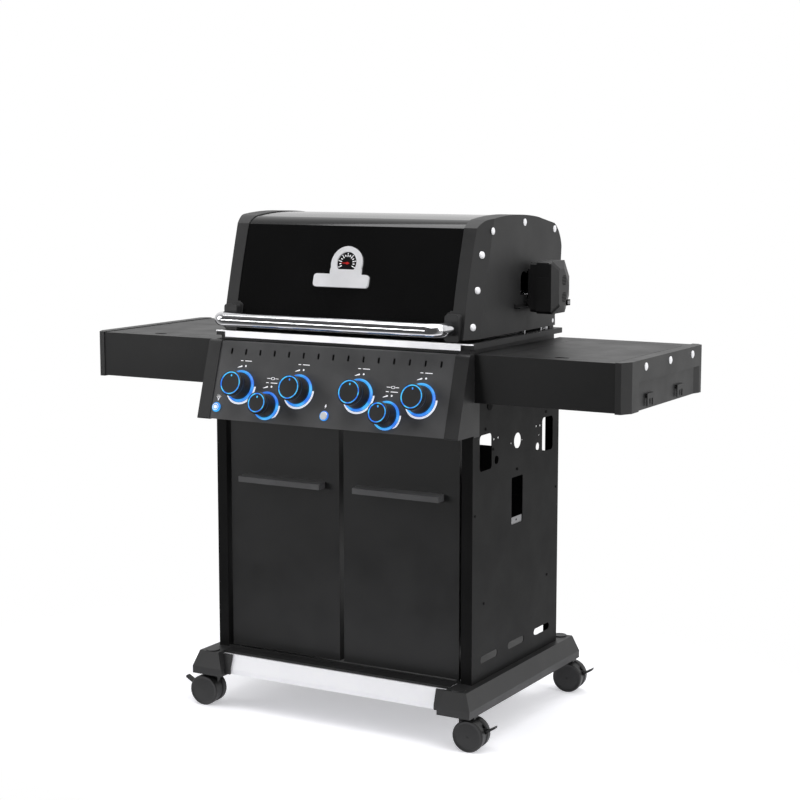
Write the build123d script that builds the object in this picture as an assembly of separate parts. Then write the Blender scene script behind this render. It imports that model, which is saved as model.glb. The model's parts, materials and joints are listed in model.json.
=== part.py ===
from build123d import *
import os
from math import atan2, ceil, cos, radians, sin

# Four-burner gas barbecue grill on a cabinet cart with casters.
# Millimetres.  +X is the cook's right, +Y points to the back, +Z is up.
# The pieces are drawn about the middle of the cabinet, then moved along Y so that the origin is
# on the floor under the middle of the whole grill.

# ---- driving dimensions: cart ------------------------------------------------------------
cabinet_width = 706.0
cabinet_depth = 458.0
cabinet_height = 765.0          # underside of the cabinet to the top of the side shelves
overall_width = 1450.0          # over both side shelves
sheet = 1.5                     # steel sheet of the cart and the shelves
post_face = 28.0                # width of the side panel's front flange
post_return = 21.0
rear_flange = 36.0              # width of the side panel's rear flange
panel_height = 739.0            # side panel, from the underside of the cabinet
floor_lip = 6.0
floor_reach = 37.0              # dark shelf in front of the cabinet, above the apron

beam_bottom_width = 85.0
beam_top_width = 55.0
beam_height = 57.0
beam_band = 18.0                # upright band along the beam's lower edge
beam_overhang = 71.0            # beyond the cabinet, front and back
beam_nose = 11.0                # slope of the beam's ends
beam_wall = 3.0
beam_inset = 10.5               # beam's middle line inside the cabinet's side
beam_cap_radius = 17.0
beam_cap_height = 2.5
beam_cap_inset = 27.0           # cap's middle from the beam's end

apron_top_reach = 39.0          # apron's upper front edge in front of the cabinet
apron_foot_reach = 50.0
apron_drop = 5.0                # apron's upper edge below the cabinet's underside
apron_knee = 40.0
apron_lip = 12.0
apron_clip_reach = 16.0

wheel_radius = 37.5
wheel_width = 18.0
wheel_gap = 15.0                # between the two wheels of one caster
wheel_trail = 22.0              # wheel axle behind the swivel axis
caster_clearance = 9.0          # wheel top to beam
caster_yaw = 5.0                # how far each caster is turned at rest, degrees
caster_inset_x = 8.0            # swivel axis inside the cabinet's side
caster_inset_front = 43.0       # swivel axes from the beam's ends
caster_inset_rear = 17.0
stem_radius = 5.5
stem_length = 34.0
axle_radius = 4.0
web_width = 13.0

running = 0.05                  # radial clearance of a shaft in its hole
gap = 0.4                       # between pieces that move past each other

# ---- driving dimensions: console ---------------------------------------------------------
console_height = 182.0
console_lean = 56.2             # lower edge in front of the upper edge
console_reach = 19.5            # upper edge in front of the cabinet
console_cap_width = 33.0
console_cap_proud = 2.2
vent_count = 15
vent_pitch = 40.9
vent_width = 5.5
vent_length = 14.6
vent_down = 23.6                # distances down the panel from its upper edge
burner_spacing = 164.0          # between main burners, and between their knobs
large_knob_down = 107.4
small_knob_down = 149.5
button_down = 162.0
knob_reach = 44.0               # knob face off the panel
large_knob_radius = 30.5
small_knob_radius = 26.5
large_bezel_radius = 38.5
small_bezel_radius = 34.0
bezel_height = 6.0
light_button_inset = 15.0       # inside the console's end cap
button_radius = 9.3
button_collar_radius = 11.75
valve_stem_radius = 4.0
manifold_radius = 9.0
manifold_down = 128.5
manifold_depth = 30.0           # manifold's middle behind the panel face
inlet_radius = 7.9
inlet_length = 14.0
inlet_inset = 30.0              # inlet's nut behind the cabinet's front

# ---- driving dimensions: cookbox and lid -------------------------------------------------
rim_top_rise = 22.4             # cookbox rim above the side shelves
rim_thickness = 12.4
rim_front = 4.0                 # rim inside the cabinet's front
rim_back = 14.0                 # rim beyond the cabinet's back
cookbox_wall = 4.0
cookbox_depth_below = 85.6      # straight wall below the rim
hopper_height = 55.0
hopper_mouth_x = 130.0
hopper_mouth_y = 80.0
trim_inset = 31.0

lid_gap = 8.0                   # cookbox rim to lid
lid_height = 275.0
lid_front_reach = 2.0           # lid's lower front edge in front of the cabinet
lid_back_reach = 23.0
lid_side_inset = 8.0            # lid's side inside the cabinet's side
lid_crease_inset = 17.0         # front crease inside the lid's side
lid_facet_depth = 45.0
lid_cap_width = 50.0
lid_cap_wall = 3.0
lid_sheet = 2.0
lid_shoulder = 17.0             # widening of the end caps around the handle
hinge_above_rim = 20.0
hinge_inset = 24.0              # hinge axis inside the cabinet's back
hinge_pin_radius = 5.0
ear_width = 6.0

handle_tube_radius = 16.0
handle_end_inset = 31.0         # handle's end inside the lid's side
handle_reach = 67.0             # tube's middle in front of the lid's lower edge
handle_above_lid = 26.0         # tube's middle above the lid's lower edge
handle_bend = 24.0
boss_width = 36.0
boss_height = 62.0

badge_height = 161.0            # dial's middle above the lid's lower edge
badge_thickness = 5.0
dial_radius = 26.5
arch_radius = 42.0
plate_left = -85.0
plate_right = 65.0
plate_low = -58.0
plate_high = -27.0
needle_length = 19.0
needle_pin_radius = 1.5

spit_slot_y = 42.0
spit_slot_radius = 17.5
motor_front = 40.0              # rotisserie motor, along Y from the cabinet's middle
motor_back = 142.0
motor_above_lid = 42.0
motor_height = 124.0
motor_gap = 15.5                # from the lid's side to the motor's back cover
motor_cover = 17.0
motor_body = 39.0
motor_bulge = 12.5
drive_radius = 8.0

# ---- driving dimensions: doors and shelves -----------------------------------------------
door_gap = 12.0                 # between the two doors
door_side_gap = 9.0
door_recess = 7.0               # door face behind the cabinet's front
door_thickness = 22.0
door_sheet = 1.2
door_pin_radius = 3.0
door_handle_length = 230.0
door_handle_reach = 28.0
door_handle_height = 13.0
door_handle_above = 423.0       # its lower edge above the cabinet's underside
door_handle_wall = 2.5

shelf_height = 109.0
shelf_cap_width = 28.0
shelf_cap_rise = 1.5
shelf_lid_front = 203.0         # shelf lid's front edge before the cabinet's middle
shelf_lid_back = 180.0
shelf_lid_inset = 59.0          # from the cabinet's side to the lid's opening
shelf_lid_end = 35.0            # from the shelf's outer end to the lid's opening
shelf_lid_sheet = 3.0
shelf_well_depth = 46.0
shelf_lid_gap = 1.0
shelf_pin_radius = 1.2
side_burner_radius = 45.0
side_grate_radius = 92.0

# ---- places worked out from the sizes ----------------------------------------------------
half_width = cabinet_width / 2
half_depth = cabinet_depth / 2
beam_bottom = 2 * wheel_radius + caster_clearance
cabinet_bottom = beam_bottom + beam_height
shelf_top = cabinet_bottom + cabinet_height
floor_top = cabinet_bottom + sheet
panel_top = cabinet_bottom + panel_height
beam_end = half_depth + beam_overhang
beam_x = half_width - beam_inset
stem_x = half_width - caster_inset_x
stem_front = beam_end - caster_inset_front
stem_rear = beam_end - caster_inset_rear
beam_cap_y = beam_end - beam_cap_inset
pedal_x = wheel_trail + 31.0    # brake pedal's pivot in the caster's own frame
pedal_z = wheel_radius + 12.0

rim_top = shelf_top + rim_top_rise
rim_bottom = rim_top - rim_thickness
rim_y0 = -half_depth + rim_front
rim_y1 = half_depth + rim_back
tub_x = half_width - 13.0
tub_y0 = rim_y0 + 3.0
tub_y1 = rim_y1 - 19.0
tub_bottom = rim_bottom - cookbox_depth_below
tub_in_x = tub_x - cookbox_wall
tub_in_y0 = tub_y0 + cookbox_wall
tub_in_y1 = tub_y1 - cookbox_wall
hopper_bottom = tub_bottom - hopper_height
grate_bottom = rim_top - 24.0
grate_bar = 9.0
tamer_bottom = rim_top - 60.0
burner_z = rim_top - 82.0
burner_radius = 14.0
tray_x = 140.0
tray_y0 = -90.0
tray_y1 = 200.0
tray_top = hopper_bottom - 33.0
tray_depth = 27.0

console_top = shelf_top - 1.0
console_bottom = console_top - console_height
console_y = -half_depth - console_reach
console_x = half_width - console_cap_width
console_angle = atan2(console_lean, console_height)
console_face = Plane(
    origin=(0, console_y, console_top),
    x_dir=(1, 0, 0),
    z_dir=(0, -cos(console_angle), sin(console_angle)),
)
large_knob_x = [-1.5 * burner_spacing, -0.5 * burner_spacing, 0.5 * burner_spacing, 1.5 * burner_spacing]
small_knob_x = [-burner_spacing, burner_spacing]
light_button_x = light_button_inset - console_x

lid_bottom = rim_top + lid_gap
lid_front = -half_depth - lid_front_reach
lid_back = half_depth + lid_back_reach
lid_half_width = half_width - lid_side_inset
handle_half_length = lid_half_width - handle_end_inset
lid_inner_x = lid_half_width - lid_cap_width
lid_crease_x = lid_half_width - lid_crease_inset
hinge_y = half_depth - hinge_inset
hinge_z = rim_top + hinge_above_rim
handle_y = lid_front - handle_reach
handle_z = lid_bottom + handle_above_lid
arm_x = handle_half_length - handle_tube_radius
boss_y = lid_front - 7.0
boss_bottom = lid_bottom - 4.5

door_in = door_gap / 2
door_out = half_width - post_face - door_side_gap
door_y0 = -half_depth + door_recess
door_y1 = door_y0 + door_thickness
door_bottom = cabinet_bottom + floor_lip + 1.0
door_top = console_bottom - 5.0
door_pin_x = door_out - 8.0
door_pin_y = (door_y0 + door_y1) / 2

shelf_x = overall_width / 2
shelf_bottom = shelf_top - shelf_height
shelf_inner_x = half_width + 3.0
shelf_sheet_end = shelf_x - shelf_cap_width
well_x0 = half_width + shelf_lid_inset
well_x1 = shelf_x - shelf_lid_end
well_bottom = shelf_top - shelf_well_depth
shelf_pin_y = shelf_lid_back - 2.5
shelf_pin_z = shelf_top - shelf_lid_sheet / 2

# The knobs reach furthest to the front and the beams furthest to the back.
knob_front = (
    -console_y
    + small_knob_down * sin(console_angle)
    + knob_reach * cos(console_angle)
    + small_knob_radius * sin(console_angle)
)
centring = (knob_front - beam_end) / 2


# ---- shapes used again and again ---------------------------------------------------------
def block(x0, x1, y0, y1, z0, z1):
    """Rectangular block between two corners."""
    return Pos((x0 + x1) / 2, (y0 + y1) / 2, (z0 + z1) / 2) * Box(x1 - x0, y1 - y0, z1 - z0)


def prism_x(points, x0, x1):
    """Polygon of (y, z) points, from x0 to x1."""
    outline = Polyline([(x0, y, z) for y, z in points], close=True)
    return extrude(make_face(outline), amount=x1 - x0, dir=(1, 0, 0))


def prism_y(points, y0, y1):
    """Polygon of (x, z) points, from y0 to y1."""
    outline = Polyline([(x, y0, z) for x, z in points], close=True)
    return extrude(make_face(outline), amount=y1 - y0, dir=(0, 1, 0))


def prism_z(points, z0, z1):
    """Polygon of (x, y) points, from z0 to z1."""
    outline = Polyline([(x, y, z0) for x, y in points], close=True)
    return extrude(make_face(outline), amount=z1 - z0, dir=(0, 0, 1))


def rod(start, end, radius):
    """Round bar between two points."""
    run = Vector(*end) - Vector(*start)
    return extrude(Plane(origin=start, z_dir=run.normalized()) * Circle(radius), amount=run.length)


def turned(profile):
    """Ring or disc turned about Z from (radius, height) points."""
    outline = Polyline([(r, 0, z) for r, z in profile], close=True)
    return revolve(make_face(outline), axis=Axis.Z)


def both_sides(shape):
    """A right-hand piece and its mirrored twin, as two solids."""
    return Compound(children=[*shape.solids(), *shape.mirror(Plane.YZ).solids()])


def apart(*shapes):
    """Several pieces kept as separate solids."""
    return Compound(children=[solid for shape in shapes for solid in shape.solids()])


def on_console(x, down, out, shape):
    """Place a shape, drawn about Z, on the console's slanted face."""
    return console_face.location * Pos(x, -down, out) * shape


def screw(plane, head_radius, shank_radius=2.4, shank_length=6.0):
    """Domed screw whose head sits on the plane."""
    head = turned([(0, 0), (head_radius, 0), (head_radius, 1.2), (head_radius * 0.6, 2.8), (0, 3.3)])
    shank = Pos(0, 0, -shank_length / 2) * Cylinder(shank_radius, shank_length)
    return plane.location * (head + shank)


def screw_hole(plane, shank_radius=2.4, shank_length=6.0):
    """Hole for the screw's shank."""
    return plane.location * Pos(0, 0, -shank_length / 2) * Cylinder(shank_radius, shank_length + 1.0)


# ---- cart --------------------------------------------------------------------------------
def beam_solid(shrink):
    """Right-hand base beam: a bar with sloping sides and ends, made smaller by a wall."""
    low = beam_bottom - shrink
    band = beam_bottom + beam_band
    high = cabinet_bottom - shrink
    wide = beam_bottom_width / 2 - shrink
    narrow = beam_top_width / 2 - shrink
    end = beam_end - shrink
    across = [(-wide, low), (wide, low), (wide, band), (narrow, high), (-narrow, high), (-wide, band)]
    along = [(-end, low), (end, low), (end, band), (end - beam_nose, high), (-end + beam_nose, high),
        (-end, band)]
    body = prism_y([(beam_x + x, z) for x, z in across], -beam_end - 1, beam_end + 1)
    return body & prism_x(along, beam_x - beam_bottom_width, beam_x + beam_bottom_width)


def base_beams():
    beam = beam_solid(0) - beam_solid(beam_wall)
    socket_height = beam_height - beam_wall / 2
    bore_length = stem_length + 2.0
    for y in (-stem_front, stem_rear):
        beam += Pos(stem_x, y, beam_bottom + socket_height / 2) * Cylinder(10.0,
            socket_height) & beam_solid(0)
        beam -= Pos(stem_x, y, beam_bottom + bore_length / 2) * Cylinder(stem_radius + running,
            bore_length)
    for y in (-beam_cap_y, beam_cap_y):
        beam += Pos(beam_x, y, cabinet_bottom + beam_cap_height / 2) * Cylinder(beam_cap_radius,
            beam_cap_height)
    return both_sides(beam + apron_clip())


def apron_outline(near, far):
    """Side view of a strip that follows the apron's slope, between two distances in front of it."""
    edge = -half_depth - apron_top_reach
    foot = -half_depth - apron_foot_reach
    knee = cabinet_bottom - apron_knee
    low = knee - apron_lip
    top = cabinet_bottom - apron_drop
    outline = [(foot - near, low), (foot - far, low), (foot - far, knee), (edge - far, top)]
    return outline + [(edge - near, top), (foot - near, knee)]


def apron_clip():
    """Black upright on the beam's inner side that holds the apron's end."""
    inner = beam_x - beam_bottom_width / 2
    clip = prism_x(apron_outline(1.5, 5.5), inner - apron_clip_reach, beam_x)
    clip += prism_x(apron_outline(0.1, 5.5), inner - 4.0, beam_x)
    return clip - beam_solid(beam_wall)


def base_apron():
    """Bright skirt between the two beams, in front of the cabinet."""
    edge = -half_depth - apron_top_reach
    top = cabinet_bottom - apron_drop
    reach = beam_x - beam_top_width / 2 - 0.2
    skirt = prism_x(apron_outline(-2.0, 0.0), -reach, reach)
    skirt += block(-reach, reach, edge, edge + 30.0, top - 2.0, top)
    beams = beam_solid(-0.1)
    return skirt - beams - beams.mirror(Plane.YZ)


def cabinet_floor():
    pan = block(-half_width + sheet, half_width - sheet, -half_depth, half_depth, cabinet_bottom,
        floor_top)
    lip_x = half_width - post_face - 0.5
    lip_top = cabinet_bottom + floor_lip
    pan += block(-lip_x, lip_x, -half_depth, -half_depth + sheet, cabinet_bottom, lip_top)
    rear_x = half_width - rear_flange - 0.5
    pan += block(-rear_x, rear_x, half_depth - sheet, half_depth, cabinet_bottom, lip_top)
    reach = beam_x - beam_top_width / 2 - 0.5
    front = -half_depth - floor_reach
    pan += block(-reach, reach, front, -half_depth, cabinet_bottom, floor_top)
    pan += block(-reach + 2.0, reach - 2.0, front, front + sheet, cabinet_bottom - 3.5, floor_top)
    return pan


def rounded_window(y, z, width, height, corner):
    """Through cut in the side panel, centred at (y, z)."""
    x0 = half_width - 5.0
    outline = Plane(origin=(x0, y, z), x_dir=(0, 1, 0), z_dir=(1, 0, 0)) * RectangleRounded(width,
        height, corner)
    return extrude(outline, amount=10.0)


def side_panels():
    face_x = half_width - sheet
    panel = block(face_x, half_width, -half_depth, half_depth, cabinet_bottom, panel_top)
    post_x = half_width - post_face
    panel += block(post_x, half_width, -half_depth, -half_depth + sheet, floor_top, panel_top)
    return_top = console_bottom - 1.0
    panel += block(post_x, post_x + sheet, -half_depth, -half_depth + post_return, floor_top, return_top)
    panel += block(half_width - rear_flange, half_width, half_depth - sheet, half_depth, floor_top,
        panel_top)
    base = cabinet_bottom
    for side in (-1, 1):
        panel -= rounded_window(side * 165.0, base + 534.0, 60.0, 84.0, 10.0)
        panel -= rounded_window(side * 142.0, base + 49.0, 86.0, 17.0, 8.0)
        panel -= rounded_window(side * 110.0, base + 509.0, 20.0, 20.0, 9.9)
        panel -= rounded_window(side * 123.0, base + 559.0, 6.0, 6.0, 2.9)
        panel -= rounded_window(side * 102.0, base + 560.0, 6.0, 6.0, 2.9)
    panel -= rounded_window(0.0, base + 49.0, 86.0, 17.0, 8.0)
    panel -= rounded_window(0.0, base + 539.0, 38.0, 38.0, 18.9)
    panel -= rounded_window(-0.5, base + 397.0, 59.0, 113.5, 4.0)
    panel -= rounded_window(-79.0, base + 640.0, 14.0, 14.0, 6.9)
    for y, z in ((118.0, 536.5), (-34.0, 537.0), (24.0, 537.5)):
        panel -= rounded_window(y, base + z, 5.0, 5.0, 2.4)
    return both_sides(panel)


def rear_brace():
    """Pressed sheet across the open back, with a stiffening bead."""
    reach = half_width - 2.0
    low = cabinet_bottom + 270.0
    high = cabinet_bottom + 479.5
    middle = (low + high) / 2
    brace = block(-reach, reach, half_depth, half_depth + sheet, low, high)
    brace -= block(-reach + 40.0, reach - 40.0, half_depth - 1, half_depth + sheet + 1, middle - 15.0,
        middle + 15.0)
    bead = block(-reach + 40.0, reach - 40.0, half_depth + sheet, half_depth + 2 * sheet,
        middle - 16.5, middle + 16.5)
    walls = block(-reach + 38.5, reach - 38.5, half_depth, half_depth + 2 * sheet, middle - 16.5,
        middle + 16.5)
    walls -= block(-reach + 40.0, reach - 40.0, half_depth - 1, half_depth + 3 * sheet, middle - 15.0,
        middle + 15.0)
    return brace + bead + walls


# ---- console -----------------------------------------------------------------------------
def console_panel():
    """Slanted control panel with a return along its upper and lower edges."""
    slant = console_lean / console_height
    back = -half_depth - 0.5
    tail = -half_depth + 33.0
    wall_y = sheet / cos(console_angle)
    profile = [
        (back, console_top),
        (console_y, console_top),
        (console_y - console_lean, console_bottom),
        (tail, console_bottom),
        (tail, console_bottom + sheet),
        (console_y - console_lean + sheet * slant + wall_y, console_bottom + sheet),
        (console_y - sheet * slant + wall_y, console_top - sheet),
        (back, console_top - sheet),
    ]
    panel = prism_x(profile, -console_x, console_x)
    first = -vent_pitch * (vent_count - 1) / 2
    slot = Rot(0, 0, 90) * SlotOverall(vent_length, vent_width)
    for number in range(vent_count):
        panel -= on_console(first + number * vent_pitch, vent_down, -6.0, extrude(slot, amount=12.0))
    hole = Cylinder(12.0, 12.0)
    for x in large_knob_x:
        panel -= on_console(x, large_knob_down, 0, hole)
    for x in small_knob_x:
        panel -= on_console(x, small_knob_down, 0, hole)
    for x in (0.0, light_button_x):
        panel -= on_console(x, button_down, 0, Cylinder(button_radius + gap, 12.0))
    return panel


def console_caps():
    """Moulded end caps that wrap back over the cabinet's sides."""
    proud = 2.0
    outer_x = half_width + console_cap_proud + 0.3
    back = -half_depth - 0.5
    corners = [
        (0, back, console_top + 2.0),
        (0, console_y - proud, console_top + 2.0),
        (0, console_y - console_lean - proud, console_bottom - proud),
        (0, back, console_bottom - proud),
    ]
    outline = FilletPolyline(corners, radius=[0.0, 9.0, 3.0, 0.0], close=True)
    face = make_face(outline)
    inner = offset(face, amount=-2.5, kind=Kind.INTERSECTION)
    cap = Pos(console_x, 0, 0) * extrude(face, amount=outer_x - console_x, dir=(1, 0, 0))
    pocket = Pos(console_x + 2.5, 0, 0) * extrude(inner, amount=outer_x - console_x - 5.0, dir=(1, 0, 0))
    cap -= pocket
    wing_x = half_width + 0.3
    cap += block(wing_x, outer_x, back, -half_depth + 27.0, console_bottom - 6.0, console_top)
    return both_sides(cap)


def bezel(radius, bore):
    """Ring round a knob, with a sloping lit face."""
    return turned([
        (bore, 0),
        (radius, 0),
        (radius, bezel_height * 0.5),
        (radius - 2.0, bezel_height),
        (bore + 1.5, bezel_height),
        (bore, bezel_height - 1.5),
    ])


def knob_bezels():
    rings = [on_console(x, large_knob_down, 0, bezel(large_bezel_radius, large_bezel_radius - 5.5))
             for x in large_knob_x]
    rings += [on_console(x, small_knob_down, 0, bezel(small_bezel_radius, small_bezel_radius - 5.0))
              for x in small_knob_x]
    bore = button_radius + gap
    collar = turned([(bore, 0), (button_collar_radius, 0), (button_collar_radius, 2.0), (bore, 3.0)])
    rings += [on_console(x, button_down, 0, collar) for x in (0.0, light_button_x)]
    return apart(*rings)


def knob(x, down, radius, bezel_radius):
    """Round push-and-turn knob: wide skirt, waist and a rim at the front."""
    skirt = bezel_radius - 6.0
    body = turned([
        (0, 2.5),
        (skirt, 2.5),
        (skirt, 9.0),
        (skirt - 3.5, 20.0),
        (skirt - 4.5, 27.0),
        (radius - 1.0, 33.0),
        (radius, 35.0),
        (radius, knob_reach - 1.0),
        (radius - 1.5, knob_reach),
        (radius - 5.0, knob_reach),
        (radius - 6.0, knob_reach - 0.8),
        (0, knob_reach - 0.8),
    ])
    body -= Pos(0, 0, 12.0) * Cylinder(valve_stem_radius + running, 24.0)
    return on_console(x, down, 0, body)


def button(x):
    """Round push button with a plain stem."""
    cap = turned([(0, -7.0), (button_radius, -7.0), (button_radius, 4.0), (button_radius - 1.0, 4.8),
        (0, 5.2)])
    stem = Pos(0, 0, -13.0) * Cylinder(3.0, 12.0)
    return on_console(x, button_down, 0, cap + stem)


# ---- gas train ---------------------------------------------------------------------------
def gas_manifold():
    """Manifold tube, one valve with its stem behind each knob, and the inlet at the back."""
    reach = 1.5 * burner_spacing + 40.0
    along_x = Rot(0, 90, 0)
    tube = on_console(0, manifold_down, -manifold_depth, along_x * Cylinder(manifold_radius, 2 * reach))
    hollow = on_console(0, manifold_down, -manifold_depth, along_x * Cylinder(manifold_radius - 2.0,
        2 * reach - 6))
    pieces = [tube - hollow]
    places = [(x, large_knob_down, -1) for x in large_knob_x] + [(x, small_knob_down,
        1) for x in small_knob_x]
    for x, down, side in places:
        low = min(down + side * 13.0, manifold_down)
        high = max(down + side * 13.0, manifold_down)
        body = on_console(x, (low + high) / 2, -14.0, Box(24.0, high - low, 20.0))
        stem = on_console(x, down, 10.0, Cylinder(valve_stem_radius, 28.0))
        pieces.append(body + stem - tube)
    middle = on_console(0, manifold_down, -manifold_depth, Sphere(1.0)).center()
    x = -reach + 12.0
    tail_y = -half_depth + inlet_inset
    tail = (x, tail_y, middle.Z)
    branch = rod((x, middle.Y, middle.Z), tail, 6.0)
    nut = extrude(Plane(origin=tail, z_dir=(0, 1, 0)) * RegularPolygon(12.0, 6), amount=12.0)
    thread = rod(tail, (x, tail_y + 12.0 + inlet_length, middle.Z), inlet_radius)
    pieces.append(branch + nut + thread - tube)
    return apart(*pieces)


# ---- cookbox and what is in it -----------------------------------------------------------
def rectangle_at(x_reach, y0, y1, z):
    return make_face(Polyline([(-x_reach, y0, z), (x_reach, y0, z), (x_reach, y1, z),
        (-x_reach, y1, z)], close=True))


def hopper(shrink):
    """Tapered lower part of the cookbox that leads grease to the tray."""
    middle = (tub_y0 + tub_y1) / 2
    top = rectangle_at(tub_x - shrink, tub_y0 + shrink, tub_y1 - shrink, tub_bottom)
    mouth = rectangle_at(
        hopper_mouth_x - shrink, middle - hopper_mouth_y + shrink, middle + hopper_mouth_y - shrink,
        hopper_bottom
    )
    return loft([mouth, top])


def cookbox():
    tub = block(-tub_x, tub_x, tub_y0, tub_y1, tub_bottom, rim_bottom)
    tub += block(-half_width, half_width, rim_y0, rim_y1, rim_bottom, rim_top)
    tub += hopper(0)
    ledge_y = half_depth - 29.0
    tub += block(-half_width + 0.2, half_width - 0.2, -ledge_y, ledge_y, panel_top, panel_top + 4.0)
    tub -= block(-tub_in_x, tub_in_x, tub_in_y0, tub_in_y1, tub_bottom - 0.01, rim_top + 1.0)
    tub -= hopper(cookbox_wall)
    for y0, y1 in ((tub_in_y0 - 1.0, tub_in_y0 + 10.0), (tub_in_y1 - 10.0, tub_in_y1 + 1.0)):
        tub += block(-tub_in_x, tub_in_x, y0, y1, grate_bottom - 6.0, grate_bottom)
        tub += block(-tub_in_x, tub_in_x, y0, y1, tamer_bottom - 6.0, tamer_bottom)
    for x in large_knob_x:
        tub -= rod((x, tub_y0 - 1.0, burner_z), (x, tub_in_y0 + 1.0, burner_z), burner_radius + 0.5)
    for side in (-1, 1):
        tub += side_ear(side)
        tub += tray_rail(side)
    return tub


def side_ear(side):
    """Upright ear on the rim that carries the lid's hinge pin."""
    near = lid_half_width - lid_cap_wall - 0.5 - ear_width
    ear = block(near, near + ear_width, hinge_y - 11.0, hinge_y + 11.0, rim_top - 1.0, hinge_z)
    ear += rod((near, hinge_y, hinge_z), (near + ear_width, hinge_y, hinge_z), 11.0)
    ear -= rod((near - 1.0, hinge_y, hinge_z), (near + ear_width + 1.0, hinge_y, hinge_z),
        hinge_pin_radius)
    return ear if side > 0 else ear.mirror(Plane.YZ)


def tray_rail(side):
    """Angle under the cookbox that the grease tray hangs on."""
    x = tray_x + 10.0
    rail = block(x, x + 3.0, tray_y0, tray_y1, tray_top - 4.0, tub_bottom - 30.0)
    rail += block(x - 6.0, x, tray_y0, tray_y1, tray_top - 4.0, tray_top - 2.0)
    rail -= hopper(cookbox_wall)
    return rail if side > 0 else rail.mirror(Plane.YZ)


def cookbox_trim():
    """Bright folded lip along the front of the cookbox."""
    x = half_width - trim_inset
    front = -half_depth - rim_front
    low = rim_top - 15.0
    lip = block(-x, x, front, front + sheet, low, rim_top)
    lip += block(-x, x, front, rim_y0, rim_top - sheet, rim_top)
    end = half_width - 1.0
    lip += block(-end, end, rim_y0 - 3.0, rim_y0, rim_top - 3.0, rim_top)
    return lip


def burners():
    """Four tube burners from front to back and the cross tube of the rear burner."""
    front = tub_y0 - 14.0
    back = tub_in_y1 - 12.0
    tubes = []
    for x in large_knob_x:
        tube = rod((x, front, burner_z), (x, back, burner_z), burner_radius)
        tube -= rod((x, front - 1.0, burner_z), (x, back - 3.0, burner_z), burner_radius - 1.5)
        tubes.append(tube)
    rear_z = rim_top + 17.0
    rear_y = hinge_y - 26.0
    foot_x = half_width - 18.0
    rear = rod((-foot_x + 2.0, rear_y, rear_z), (foot_x - 2.0, rear_y, rear_z), 8.0)
    for side in (-1, 1):
        rear += block(side * foot_x - 6.0, side * foot_x + 6.0, rear_y - 6.0, rear_y + 6.0, rim_top,
            rear_z + 4.0)
    tubes.append(rear)
    return apart(*tubes)


def flame_tamers():
    """Folded sheets that cover the burners."""
    low = tamer_bottom
    wing = 46.0
    rise = 24.0
    roof = [(-wing, low), (0, low + rise), (wing, low), (wing, low + 2.0), (0, low + rise + 2.2),
        (-wing, low + 2.0)]
    sheets = []
    for x in large_knob_x:
        sheets.append(prism_y([(x + dx, z) for dx, z in roof], tub_in_y0 + 1.0, tub_in_y1 - 1.0))
    return apart(*sheets)


def cooking_grates():
    """Two cast grates, each a frame with bars from front to back."""
    grates = []
    y0 = tub_in_y0 + 2.0
    y1 = tub_in_y1 - 2.0
    for x0, x1 in ((-tub_in_x + 3.0, -1.0), (1.0, tub_in_x - 3.0)):
        grate = block(x0, x1, y0, y1, grate_bottom, grate_bottom + grate_bar)
        grate -= block(x0 + 8.0, x1 - 8.0, y0 + 8.0, y1 - 8.0, grate_bottom - 1,
            grate_bottom + grate_bar + 1)
        bars = ceil((x1 - x0 - 16.0) / 19.0)
        pitch = (x1 - x0 - 16.0) / bars
        for number in range(1, bars):
            x = x0 + 8.0 + number * pitch
            grate += block(x - 3.5, x + 3.5, y0 + 4.0, y1 - 4.0, grate_bottom + 1.0,
                grate_bottom + grate_bar)
        grates.append(grate)
    return apart(*grates)


def warming_rack():
    """Wire rack: a flat grid on two leg frames that stand on the cookbox rim."""
    leg_x = tub_in_x + 2.0
    y0 = 60.0
    y1 = hinge_y - 55.0
    z = rim_top + 92.0
    grid = Part()
    for y in (y0, y1):
        grid += rod((-leg_x + 3.0, y, z), (leg_x - 3.0, y, z), 3.0)
    wires = 24
    pitch = 2 * (leg_x - 60.0) / (wires - 1)
    for number in range(wires):
        x = -leg_x + 60.0 + number * pitch
        grid += rod((x, y0, z + 3.0), (x, y1, z + 3.0), 2.0)
    legs = rod((leg_x, y0, rim_top), (leg_x, y0, z), 3.0)
    legs += rod((leg_x, y1, rim_top), (leg_x, y1, z), 3.0)
    legs += rod((leg_x, y0, z), (leg_x, y1, z), 3.0)
    legs += Pos(leg_x, y0, z) * Sphere(3.0)
    legs += Pos(leg_x, y1, z) * Sphere(3.0)
    return apart(grid - legs - legs.mirror(Plane.YZ), legs, legs.mirror(Plane.YZ))


def grease_tray():
    """Tray that slides out of the open back."""
    low = tray_top - tray_depth
    wall = 1.2
    tray = block(-tray_x, tray_x, tray_y0, tray_y1, low, tray_top)
    tray -= block(-tray_x + wall, tray_x - wall, tray_y0 + wall, tray_y1 - wall, low + wall,
        tray_top + 1.0)
    for side in (-1, 1):
        inner = side * (tray_x - wall)
        outer = side * (tray_x + 9.0)
        tray += block(min(inner, outer), max(inner, outer), tray_y0, tray_y1, tray_top - wall, tray_top)
    tray += block(-45.0, 45.0, tray_y1, tray_y1 + 16.0, tray_top - wall, tray_top)
    tray += block(-45.0, 45.0, tray_y1 + 16.0 - wall, tray_y1 + 16.0, tray_top - 12.0, tray_top)
    return tray


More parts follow.
